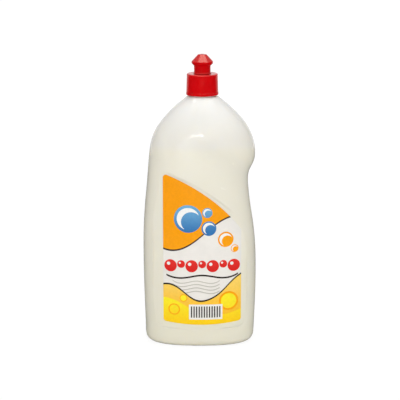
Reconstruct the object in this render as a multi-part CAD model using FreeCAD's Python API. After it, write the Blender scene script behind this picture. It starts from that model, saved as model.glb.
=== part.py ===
import FreeCAD, Part
import math
import os

# Dish soap bottle of one litre with a screw cap and a push-pull spout.
# Millimetres, +Z up, the front faces -Y. The origin lies on the floor, in the middle of
# the bottle's width and depth. The neck stands a little to the right of the middle.

V = FreeCAD.Vector

# Bottle body
body_half_width = 54.6
body_half_depth = 33.0
belly_height = 80.0
waist_rise = 80.0
bulge_rise = 26.0
dome_height = 55.3
body_wall = 0.8
heel_radius = 8.0
foot_side_inset = 1.9
foot_depth_inset = 0.9
waist_inset_left = 4.0
waist_inset_right = 8.2
waist_depth_inset = 0.6
bulge_inset_left = 6.2
bulge_inset_right = 1.5
bulge_depth_inset = 1.2
squareness = 2.4
section_points = 40
heel_steps = 4
side_steps = 26

# Slanted finger groove across the front and the back
groove_depth_right = 4.6
groove_depth_left = 0.4
groove_half_height = 16.0
groove_slope = 0.55

# Hollow under the base
push_up_height = 4.0
standing_ring = 3.0

# Neck and thread
neck_shift = 2.45
neck_radius = 12.6
neck_bore_radius = 10.9
neck_height = 18.6
shoulder_top_radius = 14.2
shoulder_thickness = 1.2
neck_bead_height = 1.2
neck_bead_rise = 3.6
thread_pitch = 4.23
thread_turns = 1.5
thread_depth = 1.2
thread_root_width = 1.5
thread_crest_width = 0.8
thread_top_gap = 1.6
thread_clearance = 0.3
thread_embed = 0.3
mouth_chamfer = 0.6

# Label panels, parts of one upright cylinder surface
panel_recess = 0.9
panel_side_recess = 0.6
panel_side_margin = 9.8
panel_bottom_margin = 10.0
panel_top_margin = 10.0
panel_slant = 56.0
panel_top_bow = 8.0
panel_corner = 9.0
bottom_bow = 2.5

# Labels and print
label_gap = 0.05
label_film = 0.12
print_film = 0.10
label_margin_left = 9.8
label_margin_right = 5.0
label_margin_bottom = 5.3
label_margin_top = 4.8
label_slant = 55.0
label_top_bow = 7.5
label_corner = 3.0
line_width = 1.6
ripple_width = 0.9
back_band_height = 12.0

# Soap
fill_above_waist = 32.5
soap_gap = 0.15

# Screw cap
cap_skirt_height = 20.1
cap_lip_radius = 15.5
cap_lip_height = 2.6
cap_lip_step = 0.2
cap_lip_round = 0.6
cap_taper = 0.5
cap_edge_round = 1.0
cap_deck = 1.2
cap_bore_clearance = 0.3
cap_thread_turns = 1.25
liner_thickness = 1.5
liner_inner_radius = 9.6
liner_clearance = 0.4

# Stem on the cap and the push-pull spout around it
stem_radius = 6.2
stem_wall = 1.1
stem_bead = 0.4
stem_bead_height = 1.0
stem_plate = 1.2
stem_window_radius = 1.4
stem_window_circle = 3.6
stem_windows = 4
pin_radius = 1.95
pin_recess = 0.2
pin_chamfer = 0.4
spout_travel = 5.5
spout_stop_gap = 0.3
spout_fit = 0.1
spout_wall = 1.25
spout_foot = 0.5
spout_foot_height = 1.0
spout_bead_height = 0.9
spout_flange_radius = 10.3
spout_flange_height = 1.6
spout_tip_radius = 4.0
spout_tip_land = 1.4
spout_cone_height = 6.7
spout_flange_round = 0.3
spout_tip_round = 0.4
spout_deck_gap = 0.3

# Sizes that follow from the ones above
waist_height = belly_height + waist_rise
bulge_height = waist_height + bulge_rise
body_height = bulge_height + dome_height
mouth_height = body_height + neck_height
panel_half_width = body_half_width - panel_side_margin
panel_bottom = heel_radius + panel_bottom_margin
panel_top_left = bulge_height - panel_top_margin
panel_top_right = panel_top_left - panel_slant
panel_crown = body_half_depth - panel_recess
panel_side = (1 - (panel_half_width / body_half_width) ** squareness) ** (1 / squareness)
panel_drop = panel_crown - panel_side * body_half_depth + panel_side_recess
panel_radius = (panel_half_width ** 2 + panel_drop ** 2) / (2 * panel_drop)
panel_axis = panel_radius - panel_crown
label_left = label_margin_left - panel_half_width
label_right = panel_half_width - label_margin_right
label_bottom = panel_bottom + label_margin_bottom
label_top_left = panel_top_left - label_margin_top
label_top_right = label_top_left - label_slant
fill_height = waist_height + fill_above_waist
bottle_ridge_low = mouth_height - thread_top_gap - thread_root_width / 2 - thread_pitch * thread_turns
deck_bottom = mouth_height + liner_thickness
deck_top = deck_bottom + cap_deck
skirt_bottom = deck_top - cap_skirt_height
skirt_bore_radius = neck_radius + thread_depth + cap_bore_clearance
sleeve_bore_radius = stem_radius + stem_bead + spout_fit
sleeve_radius = sleeve_bore_radius + spout_wall
spout_bottom = deck_top + spout_deck_gap
spout_bead_top = spout_bottom + spout_bead_height
stem_bead_bottom = spout_bead_top + spout_travel + spout_stop_gap + stem_bead
stem_top = stem_bead_bottom + stem_bead_height
tip_bore_radius = pin_radius + spout_fit
cone_bottom = stem_top + spout_stop_gap + spout_wall + spout_flange_height
spout_top = cone_bottom + spout_cone_height


def smooth_line(points):
    """A smooth function of height through points (height, reach)."""
    curve = Part.BSplineCurve()
    curve.interpolate(
        Points=[V(height, reach, 0) for height, reach in points],
        Parameters=[height for height, reach in points],
    )
    return lambda height: curve.value(height).y


def dome_points(start, end, fullness):
    """Points of the rounded shoulder, from the bulge up to the neck."""
    steps = (0.3, 0.55, 0.75, 0.88, 1.0)
    return [
        (bulge_height + dome_height * u, end + (start - end) * (1 - u ** fullness))
        for u in steps
    ]


left_bulge = body_half_width - bulge_inset_left
right_bulge = body_half_width - bulge_inset_right
depth_bulge = body_half_depth - bulge_depth_inset
left_waist = body_half_width - waist_inset_left
right_waist = body_half_width - waist_inset_right

left_line = smooth_line(
    [
        (heel_radius, body_half_width - foot_side_inset),
        (1.1 * belly_height, body_half_width),
        (belly_height + 0.6 * waist_rise, body_half_width - 0.28 * waist_inset_left),
        (waist_height, left_waist),
        (bulge_height, left_bulge),
    ]
    + dome_points(left_bulge, shoulder_top_radius - neck_shift, 2.0)
)
right_line = smooth_line(
    [
        (heel_radius, body_half_width - foot_side_inset),
        (0.85 * belly_height, body_half_width),
        (belly_height + 0.4 * waist_rise, body_half_width - 0.26 * waist_inset_right),
        (belly_height + 0.8 * waist_rise, body_half_width - 0.83 * waist_inset_right),
        (waist_height, right_waist),
        (waist_height + 0.3 * bulge_rise, right_waist + 0.09 * (right_bulge - right_waist)),
        (waist_height + 0.6 * bulge_rise, right_waist + 0.64 * (right_bulge - right_waist)),
        (bulge_height, right_bulge),
    ]
    + dome_points(right_bulge, shoulder_top_radius + neck_shift, 2.15)
)
depth_line = smooth_line(
    [
        (heel_radius, body_half_depth - foot_depth_inset),
        (belly_height, body_half_depth),
        (waist_height, body_half_depth - waist_depth_inset),
        (bulge_height, depth_bulge),
    ]
    + dome_points(depth_bulge, shoulder_top_radius, 2.0)
)


def roundness(height):
    """Exponent of the section: squarish below, a circle at the neck."""
    u = (height - bulge_height) / dome_height
    u = min(max(u, 0.0), 1.0)
    blend = u * u * (3 - 2 * u)
    return squareness + (2.0 - squareness) * blend


def groove(x, height):
    """Depth of the finger groove at a place on the front."""
    across = max(0.0, (x + body_half_width) / (2 * body_half_width))
    depth = groove_depth_left + (groove_depth_right - groove_depth_left) * across ** 1.5
    middle = waist_height + groove_slope * (body_half_width - x)
    fade = min(1.0, (body_height - height) / (0.5 * dome_height))
    return depth * fade * math.exp(-(((height - middle) / groove_half_height) ** 2))


def section(height, inset):
    """The closed outline of the body at one height, starting at the back."""
    at = max(height, heel_radius)
    left = left_line(at) - inset
    right = right_line(at) - inset
    depth = depth_line(at) - inset
    power = roundness(at)
    middle = (right - left) / 2
    half = (right + left) / 2
    points = []
    for k in range(section_points):
        angle = math.pi / 2 + 2 * math.pi * k / section_points
        c = math.cos(angle)
        s = math.sin(angle)
        reach = (abs(c) ** power + abs(s) ** power) ** (-1 / power)
        x = middle + half * c * reach
        y = depth * s * reach * (1 - groove(x, at) / depth_line(at))
        points.append(V(x, y, height))
    curve = Part.BSplineCurve()
    curve.interpolate(
        Points=points,
        PeriodicFlag=True,
        Parameters=[k / section_points for k in range(section_points + 1)],
    )
    return Part.Wire(curve.toShape())


def body_solid(inset, top):
    """The body, or its inside with a wall left, with flat faces below and above."""
    heel = heel_radius - inset
    sections = []
    for k in range(heel_steps):
        turn = math.pi / 2 * k / heel_steps
        rise = heel * (1 - math.cos(turn))
        sections.append(section(inset + rise, inset + heel * (1 - math.sin(turn))))
    for k in range(side_steps + 1):
        sections.append(section(heel_radius + (top - heel_radius) * k / side_steps, inset))
    return Part.makeLoft(sections, True)


def plate(edges, near, far):
    """A prism along Y from a closed outline drawn in the XZ plane."""
    face = Part.Face(Part.Wire(Part.__sortEdges__(edges)))
    prism = face.extrude(V(0, far - near, 0))
    prism.translate(V(0, near, 0))
    return prism


def slanted_outline(left, right, bottom, top_left, top_right, bow):
    """Upright sides, a bottom that bows down and a slanted top that bows up."""
    a = V(left, 0, bottom + bottom_bow)
    b = V(right, 0, bottom + bottom_bow)
    c = V(right, 0, top_right)
    d = V(left, 0, top_left)
    low = V((left + right) / 2, 0, bottom)
    slope = (c - d).normalize()
    high = (c + d) / 2 + V(-slope.z, 0, slope.x) * bow
    return [
        Part.Arc(a, low, b).toShape(),
        Part.makeLine(b, c),
        Part.Arc(c, high, d).toShape(),
        Part.makeLine(d, a),
    ]


def rounded_plate(edges, near, far, corner):
    """The same prism with its four corners rounded."""
    prism = plate(edges, near, far)
    upright = [e for e in prism.Edges if e.BoundBox.YLength > 0.9 * abs(far - near)]
    return prism.makeFillet(corner, upright)


def panel_cutter(grow):
    """What is cut from the front to leave the label panel, or from the inside with a wall left."""
    edges = slanted_outline(
        -panel_half_width - grow,
        panel_half_width + grow,
        panel_bottom - grow,
        panel_top_left + grow,
        panel_top_right + grow,
        panel_top_bow,
    )
    block = rounded_plate(edges, -2 * body_half_depth, -panel_crown / 3, panel_corner + grow)
    drum = Part.makeCylinder(panel_radius - grow, body_height, V(0, panel_axis, 0))
    return block.cut(drum)


def both_sides(shape):
    """A shape of the front together with its mirror image at the back."""
    return [shape, shape.mirror(V(0, 0, 0), V(0, 1, 0))]


def push_up(grow):
    """The shallow dome under the base, or the inside's dome above it."""
    width = body_half_width - foot_side_inset - heel_radius - standing_ring + grow
    depth = body_half_depth - foot_depth_inset - heel_radius - standing_ring + grow
    height = push_up_height + grow
    radius = (width ** 2 + height ** 2) / (2 * height)
    ball = Part.makeSphere(radius, V(0, 0, height - radius))
    slab = Part.makeBox(4 * width, 4 * width, 2 * height, V(-2 * width, -2 * width, 0))
    squeeze = FreeCAD.Matrix()
    squeeze.scale(V(1, depth / width, 1))
    return ball.common(slab).transformGeometry(squeeze)


def bottle_inside(inset):
    """The space inside the bottle's wall, below its neck."""
    space = body_solid(inset, body_height - shoulder_thickness)
    for cutter in both_sides(panel_cutter(inset)):
        space = space.cut(cutter)
    return space.cut(push_up(inset))


def turned(points):
    """A solid turned about the neck's axis from points (radius, height)."""
    corners = [V(r, 0, z) for r, z in points]
    face = Part.Face(Part.makePolygon(corners + [corners[0]]))
    solid = face.revolve(V(0, 0, 0), V(0, 0, 1), 360)
    solid.translate(V(neck_shift, 0, 0))
    return solid


def round_rims(shape, rims):
    """Round the turned edges listed as (radius, height, rounding)."""
    for radius, height, rounding in rims:
        edges = []
        for edge in shape.Edges:
            if not isinstance(edge.Curve, Part.Circle):
                continue
            off_radius = abs(edge.Curve.Radius - radius)
            off_height = abs(edge.Curve.Center.z - height)
            if off_radius + off_height < 0.001:
                edges.append(edge)
        shape = shape.makeFillet(rounding, edges)
    return shape


def thread_ridge(root, crest, turns):
    """A right-hand ridge about the neck's axis, with its middle at height 0 where it starts."""
    path = Part.makeHelix(thread_pitch, thread_pitch * turns, max(root, crest))
    corners = [
        V(root, 0, -thread_root_width / 2),
        V(crest, 0, -thread_crest_width / 2),
        V(crest, 0, thread_crest_width / 2),
        V(root, 0, thread_root_width / 2),
    ]
    outline = Part.makePolygon(corners + [corners[0]])
    ridge = Part.Wire(path.Edges).makePipeShell([outline], True, True)
    ridge.translate(V(neck_shift, 0, 0))
    return ridge


def make_bottle():
    """The blown bottle with its wall, panels, neck and outer thread."""
    shape = body_solid(0, body_height)
    for cutter in both_sides(panel_cutter(0)):
        shape = shape.cut(cutter)
    shape = shape.cut(push_up(0))
    bead_low = body_height + neck_bead_rise
    bead_high = bead_low + neck_bead_height
    bead_radius = neck_radius + thread_depth
    neck = turned(
        [
            (0, body_height - shoulder_thickness),
            (neck_radius, body_height - shoulder_thickness),
            (neck_radius, bead_low - mouth_chamfer),
            (bead_radius, bead_low),
            (bead_radius, bead_high),
            (neck_radius, bead_high),
            (neck_radius, mouth_height - mouth_chamfer),
            (neck_radius - mouth_chamfer, mouth_height),
            (0, mouth_height),
        ]
    )
    ridge = thread_ridge(neck_radius - thread_embed, neck_radius + thread_depth, thread_turns)
    ridge.translate(V(0, 0, bottle_ridge_low))
    shape = shape.fuse([neck, ridge])
    bore = Part.makeCylinder(
        neck_bore_radius,
        neck_height + 3 * shoulder_thickness,
        V(neck_shift, 0, body_height - 2 * shoulder_thickness),
    )
    return shape.cut([bottle_inside(body_wall), bore])


def make_soap():
    """The filling, a hair clear of the wall, with its level surface."""
    space = bottle_inside(body_wall + soap_gap)
    block = Part.makeBox(
        4 * body_half_width,
        4 * body_half_depth,
        fill_height,
        V(-2 * body_half_width, -2 * body_half_depth, 0),
    )
    return space.common(block)


def make_liner():
    """The sealing ring between the bottle's mouth and the cap's deck."""
    outer = skirt_bore_radius - liner_clearance
    return turned(
        [
            (liner_inner_radius, mouth_height),
            (outer, mouth_height),
            (outer, deck_bottom),
            (liner_inner_radius, deck_bottom),
        ]
    )


def make_screw_cap():
    """Cap moulded in one piece: skirt with inner thread, deck, hollow stem and centre pin."""
    lip_top = skirt_bottom + cap_lip_height
    side_radius = cap_lip_radius - cap_lip_step
    top_radius = side_radius - cap_taper
    stem_bore = stem_radius - stem_wall
    plate_bottom = stem_top - stem_plate
    pin_top = spout_top - pin_recess
    body = turned(
        [
            (skirt_bore_radius, skirt_bottom),
            (cap_lip_radius, skirt_bottom),
            (cap_lip_radius, lip_top - cap_lip_step),
            (side_radius, lip_top),
            (top_radius, deck_top),
            (stem_radius, deck_top),
            (stem_radius, stem_bead_bottom - stem_bead),
            (stem_radius + stem_bead, stem_bead_bottom),
            (stem_radius + stem_bead, stem_top - stem_bead),
            (stem_radius, stem_top),
            (pin_radius, stem_top),
            (pin_radius, pin_top - pin_chamfer),
            (pin_radius - pin_chamfer, pin_top),
            (0, pin_top),
            (0, plate_bottom),
            (stem_bore, plate_bottom),
            (stem_bore, deck_bottom),
            (skirt_bore_radius, deck_bottom),
        ]
    )
    rims = [(top_radius, deck_top, cap_edge_round), (cap_lip_radius, skirt_bottom, cap_lip_round)]
    body = round_rims(body, rims)
    root = skirt_bore_radius + thread_embed
    ridge = thread_ridge(root, neck_radius + thread_clearance, cap_thread_turns)
    ridge.translate(V(0, 0, bottle_ridge_low - thread_pitch / 2))
    body = body.fuse(ridge)
    windows = []
    for k in range(stem_windows):
        angle = 2 * math.pi * k / stem_windows
        place = V(
            neck_shift + stem_window_circle * math.cos(angle),
            stem_window_circle * math.sin(angle),
            plate_bottom - stem_plate,
        )
        windows.append(Part.makeCylinder(stem_window_radius, 3 * stem_plate, place))
    return body.cut(windows)


def make_spout():
    """The spout that is pulled up to open: sleeve, flange and cone with its hole."""
    inner_top = stem_top + spout_stop_gap
    flange_low = cone_bottom - spout_flange_height
    undercut = spout_flange_radius - sleeve_radius
    inner_cone_top = spout_top - spout_tip_land
    spout = turned(
        [
            (stem_radius + spout_fit, spout_bottom),
            (sleeve_radius + spout_foot, spout_bottom),
            (sleeve_radius, spout_bottom + spout_foot_height),
            (sleeve_radius, flange_low - undercut),
            (spout_flange_radius, flange_low),
            (spout_flange_radius, cone_bottom),
            (spout_tip_radius, spout_top),
            (tip_bore_radius, spout_top),
            (tip_bore_radius, inner_cone_top),
            (sleeve_bore_radius, inner_top + stem_bead),
            (sleeve_bore_radius, spout_bead_top + stem_bead),
            (stem_radius + spout_fit, spout_bead_top),
        ]
    )
    rims = [
        (spout_flange_radius, flange_low, spout_flange_round),
        (spout_flange_radius, cone_bottom, spout_flange_round),
        (spout_tip_radius, spout_top, spout_tip_round),
    ]
    return round_rims(spout, rims)


# Print on the labels, drawn flat in the XZ plane


def disc(x, z, radius):
    """A round face."""
    return Part.Face(Part.Wire(Part.makeCircle(radius, V(x, 0, z), V(0, 1, 0))))


def bar(x, z, width, height):
    """An upright rectangular face with its lower left corner at x, z."""
    corners = [V(x, 0, z), V(x + width, 0, z), V(x + width, 0, z + height), V(x, 0, z + height)]
    return Part.Face(Part.makePolygon(corners + [corners[0]]))


def area_below(points, drop=0.0):
    """Everything below a smooth line through points, down to the floor."""
    curve = Part.BSplineCurve()
    curve.interpolate([V(x, 0, z - drop) for x, z in points])
    first = V(points[0][0], 0, points[0][1] - drop)
    last = V(points[-1][0], 0, points[-1][1] - drop)
    corners = [last, V(last.x, 0, 0), V(first.x, 0, 0), first]
    edges = [curve.toShape()] + Part.makePolygon(corners).Edges
    return Part.Face(Part.Wire(edges))


def band(points, width):
    """A stripe of even height under a smooth line."""
    return area_below(points).cut(area_below(points, width))


def inner_disc(x, z, radius):
    """The part of a round face inside its rim."""
    return disc(x, z, 0.8 * radius)


def crescent(x, z, radius):
    """The light edge of a round bubble."""
    return inner_disc(x, z, radius).cut(disc(x + 0.22 * radius, z - 0.22 * radius, 0.72 * radius))


def glint(x, z, radius):
    """The bright spot on a bead."""
    return disc(x - 0.32 * radius, z + 0.32 * radius, 0.27 * radius)


def label_face():
    """The label's outline."""
    edges = slanted_outline(
        label_left, label_right, label_bottom, label_top_left, label_top_right, label_top_bow
    )
    prism = rounded_plate(edges, 0, 1, label_corner)
    faces = [face for face in prism.Faces if face.CenterOfMass.y < 0.001]
    return faces[0]


def on_panel(face, low, high):
    """A face of the label wrapped on the panel, between two heights above it."""
    prism = face.extrude(V(0, -2 * body_half_depth, 0))
    outer = Part.makeCylinder(panel_radius + high, body_height, V(0, panel_axis, 0))
    inner = Part.makeCylinder(panel_radius + low, body_height, V(0, panel_axis, 0))
    return prism.common(outer.cut(inner))


def joined(faces):
    """Faces in one plane as one shape."""
    if len(faces) == 1:
        return faces[0]
    return faces[0].fuse(faces[1:]).removeSplitter()


def printed_fields():
    """The coloured fields of the print as flat shapes, each cut clear of those listed before it.

    Places and sizes are shares of the label's half width, from the middle of its bottom.
    """
    outline = label_face()
    middle = (label_left + label_right) / 2
    half = (label_right - label_left) / 2

    def line(*points):
        return [(middle + half * u, label_bottom + half * v) for u, v in points]

    def rounds(*places):
        return [(middle + half * u, label_bottom + half * v, half * r) for u, v, r in places]

    def lowered(points, drop):
        return [(x, z - half * drop) for x, z in points]

    upper_edge = line((-1.2, 2.12), (-0.6, 2.01), (0.0, 2.39), (0.55, 2.80), (1.2, 2.83))
    swell = line((-0.92, 1.33), (-0.45, 1.27), (0.0, 1.34), (0.45, 1.27), (0.92, 1.35))
    ripple = line((-0.76, 1.18), (-0.45, 1.12), (-0.15, 1.18), (0.15, 1.12), (0.45, 1.18))
    lower_edge = line((-1.2, 0.97), (-0.65, 1.02), (-0.1, 0.66), (0.4, 0.82), (0.8, 1.20), (1.2, 1.41))
    wave_edge = line((-1.2, 0.68), (-0.6, 0.60), (0.0, 0.28), (0.6, 0.27), (1.2, 0.48))
    ripple_count = 4
    ripple_step = 0.09

    bubbles = rounds((-0.36, 2.80, 0.36), (0.17, 2.55, 0.19), (0.13, 2.96, 0.13))
    spots = rounds((0.60, 2.25, 0.20), (0.83, 2.00, 0.10))
    beads = rounds(*[(-0.81 + 0.27 * k, 1.56 + 0.05 * (k % 2), 0.16 - 0.06 * (k % 2)) for k in range(7)])
    rings = rounds((0.68, 0.62, 0.25), (-0.72, 0.40, 0.15), (-0.48, 0.71, 0.10))
    plate_x = middle - 0.34 * half
    plate_z = label_bottom + 0.14 * half
    plate_width = 0.86 * half
    plate_height = 0.40 * half
    stripe_count = 12
    stripe_step = plate_width / (stripe_count + 1)
    stripe_width = 0.5 * stripe_step
    stripe_inset = 0.05 * half

    balls = [disc(*bubble) for bubble in bubbles]
    dark = [band(upper_edge, line_width).cut(balls), band(swell, line_width), band(lower_edge, line_width)]
    for k in range(stripe_count):
        x = plate_x + (k + 0.75) * stripe_step
        dark.append(bar(x, plate_z + stripe_inset, stripe_width, plate_height - 2 * stripe_inset))
    white = [crescent(*bubble) for bubble in bubbles + spots] + [glint(*bead) for bead in beads]
    white.append(bar(plate_x, plate_z, plate_width, plate_height))
    grey = [band(lowered(ripple, ripple_step * k), ripple_width) for k in range(ripple_count)]
    orange = [outline.cut(area_below(upper_edge))]
    orange += [disc(*spot) for spot in spots]
    orange += [disc(*ring).cut(inner_disc(*ring)) for ring in rings]
    yellow = [inner_disc(*ring) for ring in rings]
    yellow.append(area_below(wave_edge))
    layers = [
        ("dark", dark),
        ("white", white),
        ("blue", balls),
        ("red", [disc(*bead) for bead in beads]),
        ("orange", orange),
        ("yellow", yellow),
        ("amber", [area_below(lower_edge)]),
        ("grey", grey),
    ]
    fields = {}
    taken = []
    for name, faces in layers:
        field = joined(faces).common(outline)
        if taken:
            field = field.cut(taken)
        fields[name] = field
        taken.append(field)
    return fields


film_top = label_gap + label_film
front_label = on_panel(label_face(), label_gap, film_top)
back_band = label_face().common(bar(label_left, label_bottom, label_right - label_left, back_band_height))

parts = {
    "bottle": make_bottle(),
    "soap_filling": make_soap(),
    "cap_liner": make_liner(),
    "screw_cap": make_screw_cap(),
    "pull_spout": make_spout(),
    "front_label": front_label,
    "back_label": both_sides(front_label)[1],
    "back_print_band": both_sides(on_panel(back_band, film_top, film_top + print_film))[1],
}
for colour, field in printed_fields().items():
    parts["front_print_" + colour] = on_panel(field, film_top, film_top + print_film)

os.makedirs("parts", exist_ok=True)
for name, shape in parts.items():
    shape.exportStep("parts/" + name + ".step")
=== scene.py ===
import bpy
import math
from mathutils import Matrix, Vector


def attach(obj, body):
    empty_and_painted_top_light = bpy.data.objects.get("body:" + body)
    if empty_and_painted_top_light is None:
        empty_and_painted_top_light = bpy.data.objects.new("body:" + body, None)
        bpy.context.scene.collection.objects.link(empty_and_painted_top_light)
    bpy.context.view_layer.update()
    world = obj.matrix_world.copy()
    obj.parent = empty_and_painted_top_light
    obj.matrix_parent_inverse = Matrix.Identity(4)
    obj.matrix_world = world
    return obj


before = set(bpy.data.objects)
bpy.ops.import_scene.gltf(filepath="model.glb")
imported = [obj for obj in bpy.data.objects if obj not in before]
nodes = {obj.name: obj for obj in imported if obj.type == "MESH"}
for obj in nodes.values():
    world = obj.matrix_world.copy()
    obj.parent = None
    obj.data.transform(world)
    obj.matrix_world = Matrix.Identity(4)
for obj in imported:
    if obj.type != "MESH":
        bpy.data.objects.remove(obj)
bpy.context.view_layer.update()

# The part's sizes are written in millimetres, and turned into metres here
MM = 0.001

# Heights from the floor, in millimetres
FILL_HEIGHT = 192.5
BODY_TOP = 241.3

# Linear colours. The wall's four run from the foot to the neck.
MILK_LOW = (0.85, 0.79, 0.625)
MILK = (0.875, 0.808, 0.655)
EMPTY_LOW = (0.85, 0.795, 0.69)
# The empty wall's top tone is partly painted light: the wall above the soap lightens upwards as
# if lit from above.
EMPTY_TOP_PAINTED_LIGHT = (0.925, 0.89, 0.81)
RED = (0.60, 0.0015, 0.004)
RED_GLOSS = (1.0, 0.92, 0.76)
SOAP = (0.80, 0.72, 0.50)
SOAP_PEARL = (0.90, 0.84, 0.66)
FOAM = (0.84, 0.84, 0.82)
FILM = (0.815, 0.785, 0.735)
FLOOR = (0.86, 0.86, 0.86)

# Two tones of each ink, and the heights in millimetres between which one turns into the other
INKS = {
    "dark": ((0.030, 0.022, 0.018), (0.045, 0.035, 0.028), 25, 130),
    "white": ((0.80, 0.79, 0.75), (0.86, 0.86, 0.84), 25, 140),
    "blue": ((0.03, 0.16, 0.42), (0.16, 0.42, 0.66), 110, 146),
    "red": ((0.66, 0.012, 0.010), (0.74, 0.030, 0.022), 72, 92),
    "yellow": ((0.94, 0.60, 0.006), (0.93, 0.80, 0.02), 23, 52),
    "orange": ((0.92, 0.36, 0.001), (0.91, 0.325, 0.0005), 30, 165),
    "amber": ((0.92, 0.50, 0.02), (0.93, 0.64, 0.13), 32, 74),
    "grey": ((0.50, 0.48, 0.42), (0.62, 0.60, 0.53), 58, 76),
}
BACK_BAND_HEIGHTS = (20, 40)

# Refractive indices
IOR_WALL = 1.5
IOR_CLOSURE = 1.49
IOR_FILM = 1.49
IOR_SOAP = 1.36

# Soft lamps: name, azimuth and elevation in degrees, distance, width and height in metres,
# power, and whether it lights the colour of things or only shows in their sheen
LAMPS = (
    ("front_fill", 2, 14, 1.7, 1.2, 1.0, 11.9, "colour"),
    ("front_glint", -9, 12, 1.6, 0.38, 0.14, 1.7, "sheen"),
    ("top", 4, 78, 1.6, 1.2, 0.8, 8.0, "colour"),
    ("ceiling_sheen", 6, 80, 1.3, 1.5, 0.6, 11.0, "sheen"),
    ("back_fill_left", 215, 22, 1.7, 1.0, 1.0, 5.2, "colour"),
    ("back_fill_right", 145, 22, 1.7, 1.0, 1.0, 5.2, "colour"),
)
LAMP_TARGET = (0.0, 0.0, 0.14)

# Camera, in metres, with its lens and sensor in millimetres
CAMERA_PLACE = (0.0003, -1.4616, 0.4767)
CAMERA_TARGET = (0.0003, 0.0, 0.13925)
CAMERA_LENS = 139.6
CAMERA_SENSOR = 36.0


# Node building

class Nodes:
    """Short calls that add and link nodes in one material or world."""

    def __init__(self, owner, output="ShaderNodeOutputMaterial"):
        owner.use_nodes = True
        self.owner = owner
        self.tree = owner.node_tree
        self.tree.nodes.clear()
        self.out = self.tree.nodes.new(output)
        self.coords = self.tree.nodes.new("ShaderNodeTexCoord")

    def put(self, socket, value):
        """Link a socket, or set the value on the node's own socket."""
        if isinstance(value, bpy.types.NodeSocket):
            self.tree.links.new(value, socket)
        elif socket.type == "RGBA" and len(value) == 3:
            socket.default_value = (*value, 1.0)
        else:
            socket.default_value = value

    def new(self, kind, **inputs):
        node = self.tree.nodes.new(kind)
        for key, value in inputs.items():
            self.put(node.inputs[key.replace("_", " ")], value)
        return node

    def math(self, operation, a, b=0.0):
        node = self.new("ShaderNodeMath")
        node.operation = operation
        self.put(node.inputs[0], a)
        self.put(node.inputs[1], b)
        return node.outputs[0]

    def coordinate(self, vector, name):
        """One of the three numbers of a vector."""
        split = self.new("ShaderNodeSeparateXYZ", Vector=vector)
        return split.outputs[name]

    def axis(self, name):
        """One coordinate of the piece in millimetres."""
        return self.math("MULTIPLY", self.coordinate(self.coords.outputs["Object"], name), 1 / MM)

    def from_middle(self):
        """Distance from the piece's origin in millimetres."""
        node = self.new("ShaderNodeVectorMath")
        node.operation = "LENGTH"
        self.put(node.inputs[0], self.coords.outputs["Object"])
        return self.math("MULTIPLY", node.outputs["Value"], 1 / MM)

    def noise(self, size, detail=3.0, stretch=(1.0, 1.0, 1.0)):
        """Noise whose features are about size millimetres across."""
        place = self.new("ShaderNodeMapping", Vector=self.coords.outputs["Object"], Scale=stretch)
        scale = 1 / (size * MM)
        node = self.new("ShaderNodeTexNoise", Vector=place.outputs[0], Scale=scale, Detail=detail)
        return node.outputs["Fac"]

    def cells(self, scale, randomness=1.0):
        """Distance to the middle of the nearest cell."""
        node = self.new(
            "ShaderNodeTexVoronoi",
            Vector=self.coords.outputs["Object"],
            Scale=scale,
            Randomness=randomness,
        )
        return node.outputs["Distance"]

    def fit(self, value, low, high, to_low, to_high, smooth=True):
        """Map a value from one range to another, held at both ends."""
        node = self.new(
            "ShaderNodeMapRange",
            Value=value,
            From_Min=low,
            From_Max=high,
            To_Min=to_low,
            To_Max=to_high,
        )
        node.interpolation_type = "SMOOTHSTEP" if smooth else "LINEAR"
        return node.outputs["Result"]

    def vary(self, noise, to_low, to_high, spread=0.2, smooth=True):
        """Spread the middle part of a noise over a range."""
        return self.fit(noise, 0.5 - spread, 0.5 + spread, to_low, to_high, smooth)

    def mix(self, factor, a, b):
        node = self.new("ShaderNodeMix")
        node.data_type = "RGBA"
        self.put(node.inputs["Factor"], factor)
        sockets = [socket for socket in node.inputs if socket.type == "RGBA"]
        for socket, value in zip(sockets, (a, b)):
            self.put(socket, value)
        return [socket for socket in node.outputs if socket.type == "RGBA"][0]

    def shade(self, colour, amount):
        """Darken or lighten a colour by a factor near 1."""
        node = self.new("ShaderNodeVectorMath")
        node.operation = "SCALE"
        self.put(node.inputs[0], colour)
        self.put(node.inputs["Scale"], amount)
        return node.outputs[0]

    def soft_edge(self, radius, samples):
        """Normal that rounds edges by a radius in millimetres."""
        node = self.new("ShaderNodeBevel", Radius=radius * MM)
        node.samples = samples
        return node.outputs[0]

    def bump(self, height, distance, normal=None):
        """Bump whose height of 1 stands for distance millimetres."""
        node = self.new("ShaderNodeBump", Height=height, Distance=distance * MM)
        if normal is not None:
            self.put(node.inputs["Normal"], normal)
        return node.outputs[0]

    def surface(self, kind, **inputs):
        """The shader that is the material's or world's surface."""
        node = self.new(kind, **inputs)
        self.put(self.out.inputs["Surface"], node.outputs[0])
        return self.owner

    def principled(self, **inputs):
        return self.surface("ShaderNodeBsdfPrincipled", **inputs)


def material_nodes(name):
    return Nodes(bpy.data.materials.new(name))


def dress(node_name, material):
    """Give a CAD node its material in every slot."""
    slots = nodes[node_name].data.materials
    if not slots:
        slots.append(material)
    for k in range(len(slots)):
        slots[k] = material


# Materials. Noise sizes, edge radii and bump heights are in millimetres.

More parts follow.
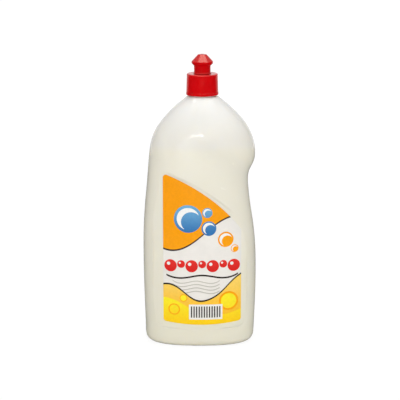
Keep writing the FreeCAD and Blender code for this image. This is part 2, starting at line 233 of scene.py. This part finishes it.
def milk_colour(n):
    """The wall's milky colour, warmer where the soap stands behind it, with painted top light
    that lightens the empty wall towards the neck.
    """
    foot_low, foot_high = 8, 150
    soap_fade_low, soap_fade_high = FILL_HEIGHT - 3.0, FILL_HEIGHT + 7.0
    painted_top_light_start = FILL_HEIGHT + 8
    height = n.axis("Z")
    level = n.math("ADD", height, n.vary(n.noise(30, 1.0), -0.8, 0.8))
    filled = n.mix(n.fit(height, foot_low, foot_high, 0.0, 1.0), MILK_LOW, MILK)
    # Painted top light: above the soap the wall is whiter with nothing behind it, and lightens
    # further towards the neck as if lit from above.
    empty_and_painted_top_light = n.mix(n.fit(height, painted_top_light_start, BODY_TOP, 0.0, 1.0), EMPTY_LOW, EMPTY_TOP_PAINTED_LIGHT)
    above = n.fit(level, soap_fade_low, soap_fade_high, 0.0, 1.0)
    clouds = n.noise(38, 1.0, stretch=(1.0, 1.0, 0.45))
    tone = n.vary(clouds, 0.985, 1.012, spread=0.3, smooth=False)
    return n.shade(n.mix(above, filled, empty_and_painted_top_light), tone)


def bottle_material():
    """Blown polyethylene with a soft wobble, a fine grain and the mould's seam."""
    seam_half_width, seam_end = 0.15, 0.45
    n = material_nodes("milky_blown_plastic")
    colour = milk_colour(n)
    rough = n.vary(n.noise(11, 1.0), 0.245, 0.275, spread=0.3, smooth=False)
    wobble = n.noise(24, 1.0, stretch=(1.0, 1.0, 0.5))
    off_seam = n.math("ABSOLUTE", n.axis("Y"))
    seam = n.fit(off_seam, seam_half_width, seam_end, 1.0, 0.0)
    normal = n.bump(wobble, 0.14, n.soft_edge(2.5, samples=8))
    normal = n.bump(seam, 0.12, normal)
    normal = n.bump(n.noise(0.55, 2.0), 0.02, normal)
    return n.principled(
        Base_Color=colour,
        Roughness=rough,
        IOR=IOR_WALL,
        Coat_Weight=0.4,
        Coat_Roughness=0.1,
        Subsurface_Weight=0.35,
        Subsurface_Radius=(1.0, 0.8, 0.55),
        Subsurface_Scale=4 * MM,
        Normal=normal,
    )


def red_material(name, tone, streak_size, edge):
    """Moulded polypropylene with faint flow streaks and a fine tool grain."""
    n = material_nodes(name)
    streaks = n.noise(streak_size, 2.0, stretch=(1.0, 1.0, 0.35))
    flow = n.vary(streaks, 0.965, 1.03, spread=0.25)
    normal = n.bump(n.noise(7, 1.0), 0.02, n.soft_edge(edge, samples=4))
    normal = n.bump(n.noise(0.45, 1.0), 0.002, normal)
    return n.principled(
        Base_Color=n.shade(RED, n.math("MULTIPLY", flow, tone)),
        Roughness=n.vary(n.noise(3.5), 0.10, 0.14),
        IOR=IOR_CLOSURE,
        Specular_Tint=RED_GLOSS,
        Subsurface_Weight=0.3,
        Subsurface_Radius=(1.0, 0.1, 0.05),
        Subsurface_Scale=1.6 * MM,
        Normal=normal,
    )


def soap_material():
    """Pearly soap with slow swirls and a few small bubbles."""
    bubble_scale = 260.0
    n = material_nodes("pearly_soap")
    swirl = n.vary(n.noise(22, 4.0, stretch=(1.0, 1.0, 2.2)), 0.0, 1.0)
    bubbles = n.fit(n.cells(bubble_scale), 0.05, 0.16, 1.0, 0.0)
    return n.principled(
        Base_Color=n.mix(swirl, SOAP, SOAP_PEARL),
        Roughness=n.fit(swirl, 0.0, 1.0, 0.08, 0.16),
        IOR=IOR_SOAP,
        Subsurface_Weight=0.6,
        Subsurface_Radius=(1.0, 0.8, 0.5),
        Subsurface_Scale=6 * MM,
        Normal=n.bump(bubbles, 0.15),
    )


def liner_material():
    """Closed-cell foam."""
    cell_scale = 2600.0
    n = material_nodes("white_foam")
    cells = n.cells(cell_scale)
    return n.principled(
        Base_Color=n.shade(FOAM, n.fit(cells, 0.0, 0.7, 0.94, 1.02)),
        Roughness=n.vary(n.noise(1.2), 0.6, 0.8),
        Subsurface_Weight=0.3,
        Subsurface_Scale=1 * MM,
        Normal=n.bump(cells, 0.06),
    )


def film_finish(n, grain_height):
    """Roughness and the faint ripple of a label film."""
    normal = n.bump(n.noise(5.5, 2.0), 0.035)
    normal = n.bump(n.noise(0.28, 1.0), grain_height, normal)
    return n.vary(n.noise(9), 0.20, 0.27), normal


def film_material():
    """The hazy label film, a little whiter than the milky wall that shows through it."""
    n = material_nodes("label_film")
    rough, normal = film_finish(n, grain_height=0.012)
    return n.principled(
        Base_Color=n.shade(FILM, n.vary(n.noise(3.0, 2.0), 0.99, 1.01)),
        Roughness=rough,
        IOR=IOR_FILM,
        Alpha=n.vary(n.noise(16, 1.0), 0.94, 0.98),
        Normal=normal,
    )


def ink_material(name, first, second, low, high):
    """Ink that runs from one tone to another, with a fine raster of dots and a soft mottle."""
    raster_scale = 3600.0
    n = material_nodes(name)
    colour = n.mix(n.fit(n.axis("Z"), low, high, 0.0, 1.0), first, second)
    dots = n.fit(n.cells(raster_scale, randomness=0.15), 0.1, 0.6, 1.01, 0.965)
    mottle = n.vary(n.noise(2.2), 0.965, 1.03, spread=0.25)
    rough, normal = film_finish(n, grain_height=0.02)
    return n.principled(
        Base_Color=n.shade(colour, n.math("MULTIPLY", dots, mottle)),
        Roughness=rough,
        IOR=IOR_FILM,
        Specular_IOR_Level=0.32,
        Normal=normal,
    )


bottle_plastic = bottle_material()
film = film_material()
dress("bottle", bottle_plastic)
dress("soap_filling", soap_material())
dress("cap_liner", liner_material())
dress("screw_cap", red_material("red_cap_plastic", tone=0.97, streak_size=14.0, edge=0.9))
dress("pull_spout", red_material("red_spout_plastic", tone=0.94, streak_size=8.0, edge=0.35))
dress("front_label", film)
dress("back_label", film)
for ink_name, (first, second, low, high) in INKS.items():
    dress("front_print_" + ink_name, ink_material("ink_" + ink_name, first, second, low, high))
band_tones = INKS["orange"][:2]
dress("back_print_band", ink_material("ink_back_band", *band_tones, *BACK_BAND_HEIGHTS))


# Weld line that the mould's pinch leaves across the hollow base

def weld_line():
    half_length = 34.0
    half_width = 0.55
    height = 0.7
    end_taper = 6.0
    sunk = 0.3
    steps = 48
    dome = 4.0
    dome_half = 41.7
    radius = (dome_half ** 2 + dome ** 2) / (2 * dome)
    rows = []
    for k in range(steps + 1):
        x = -half_length + 2 * half_length * k / steps
        base = math.sqrt(radius ** 2 - x ** 2) - radius + dome
        low = base - height * min(1.0, (half_length - abs(x)) / end_taper)
        rows.append(
            [
                (x, -half_width, base + sunk),
                (x, -0.5 * half_width, low),
                (x, 0.5 * half_width, low),
                (x, half_width, base + sunk),
            ]
        )
    verts = [Vector(p) * MM for row in rows for p in row]
    faces = []
    width = len(rows[0])
    for k in range(steps):
        for j in range(width):
            a = k * width + j
            b = k * width + (j + 1) % width
            faces.append((a, b, b + width, a + width))
    faces.append(tuple(range(width - 1, -1, -1)))
    faces.append(tuple(steps * width + j for j in range(width)))
    mesh = bpy.data.meshes.new("base_weld_line")
    mesh.from_pydata(verts, [], faces)
    mesh.update()
    for polygon in mesh.polygons:
        polygon.use_smooth = True
    piece = bpy.data.objects.new("base_weld_line", mesh)
    bpy.context.scene.collection.objects.link(piece)
    mesh.materials.append(bottle_plastic)
    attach(piece, "bottle")


weld_line()


# Floor, world, lamps and camera

def floor_material():
    """Pale floor that the camera sees as a white ground with the part's soft shadow on it."""
    seen_share = 0.86
    gloss_share = 0.97
    glow_near, glow_far = 800, 1400
    behind_start, behind_full = 700, 1800
    n = material_nodes("pale_floor")
    path = n.new("ShaderNodeLightPath")
    in_gloss = path.outputs["Is Glossy Ray"]
    tone = n.vary(n.noise(60, 2.0), 0.985, 1.0)
    diffuse = n.new("ShaderNodeBsdfDiffuse", Color=n.shade(FLOOR, tone))
    white = n.fit(n.from_middle(), glow_near, glow_far, 1.04, 1.14)
    behind = n.fit(n.axis("Y"), behind_start, behind_full, 0.0, 1.0)
    strength = n.fit(in_gloss, 0.0, 1.0, white, behind, smooth=False)
    glow = n.new("ShaderNodeEmission", Strength=strength)
    seen = n.math("MAXIMUM", path.outputs["Is Camera Ray"], path.outputs["Is Transmission Ray"])
    in_gloss_share = n.math("MULTIPLY", in_gloss, gloss_share)
    share = n.math("MAXIMUM", n.math("MULTIPLY", seen, seen_share), in_gloss_share)
    mixed = n.new("ShaderNodeMixShader", Fac=share)
    n.put(mixed.inputs[1], diffuse.outputs[0])
    n.put(mixed.inputs[2], glow.outputs[0])
    n.put(n.out.inputs["Surface"], mixed.outputs[0])
    return n.owner


def make_floor():
    half = 6.0
    mesh = bpy.data.meshes.new("floor")
    corners = [(-half, -half, 0), (half, -half, 0), (half, half, 0), (-half, half, 0)]
    mesh.from_pydata(corners, [], [(0, 1, 2, 3)])
    mesh.materials.append(floor_material())
    floor = bpy.data.objects.new("floor", mesh)
    bpy.context.scene.collection.objects.link(floor)


def make_world():
    """White behind the part. Reflections see a studio that is bright above and behind."""
    horizon_z, ceiling_z = 0.25, 0.85
    side_y, behind_y = 0.65, 1.0
    dim, fill, white = 0.04, 0.56, 1.0
    world = bpy.data.worlds.new("studio")
    bpy.context.scene.world = world
    n = Nodes(world, "ShaderNodeOutputWorld")
    direction = n.coords.outputs["Generated"]
    path = n.new("ShaderNodeLightPath").outputs
    up = n.coordinate(direction, "Z")
    back = n.coordinate(direction, "Y")
    ceiling = n.fit(up, horizon_z, ceiling_z, dim, white, smooth=False)
    studio = n.fit(back, side_y, behind_y, ceiling, white, smooth=False)
    strength = n.fit(path["Is Glossy Ray"], 0.0, 1.0, fill, studio, smooth=False)
    strength = n.fit(path["Is Transmission Ray"], 0.0, 1.0, strength, white, smooth=False)
    strength = n.fit(path["Is Camera Ray"], 0.0, 1.0, strength, white, smooth=False)
    n.surface("ShaderNodeBackground", Color=(1.0, 1.0, 1.0), Strength=strength)


def aim(thing, target):
    """Turn a lamp or camera so that it looks at a point."""
    view = Vector(target) - thing.location
    thing.rotation_euler = view.to_track_quat("-Z", "Y").to_euler()


def softbox(name, azimuth, elevation, distance, width, height, power, lights):
    """A soft lamp that looks at the bottle's middle. Azimuth 0 is straight in front."""
    lamp = bpy.data.lights.new(name, "AREA")
    lamp.shape = "RECTANGLE"
    lamp.size = width
    lamp.size_y = height
    lamp.energy = power
    thing = bpy.data.objects.new(name, lamp)
    bpy.context.scene.collection.objects.link(thing)
    turn = math.radians(azimuth)
    rise = math.radians(elevation)
    level = math.cos(rise)
    place = Vector((math.sin(turn) * level, -math.cos(turn) * level, math.sin(rise)))
    thing.location = Vector(LAMP_TARGET) + place * distance
    aim(thing, LAMP_TARGET)
    thing.visible_diffuse = lights == "colour"
    thing.visible_glossy = lights == "sheen"


def make_camera():
    camera = bpy.data.cameras.new("camera")
    camera.sensor_width = CAMERA_SENSOR
    camera.lens = CAMERA_LENS
    thing = bpy.data.objects.new("camera", camera)
    bpy.context.scene.collection.objects.link(thing)
    thing.location = CAMERA_PLACE
    aim(thing, CAMERA_TARGET)
    bpy.context.scene.camera = thing


make_floor()
make_world()
for lamp_values in LAMPS:
    softbox(*lamp_values)
make_camera()
bpy.context.scene.view_settings.view_transform = "Standard"
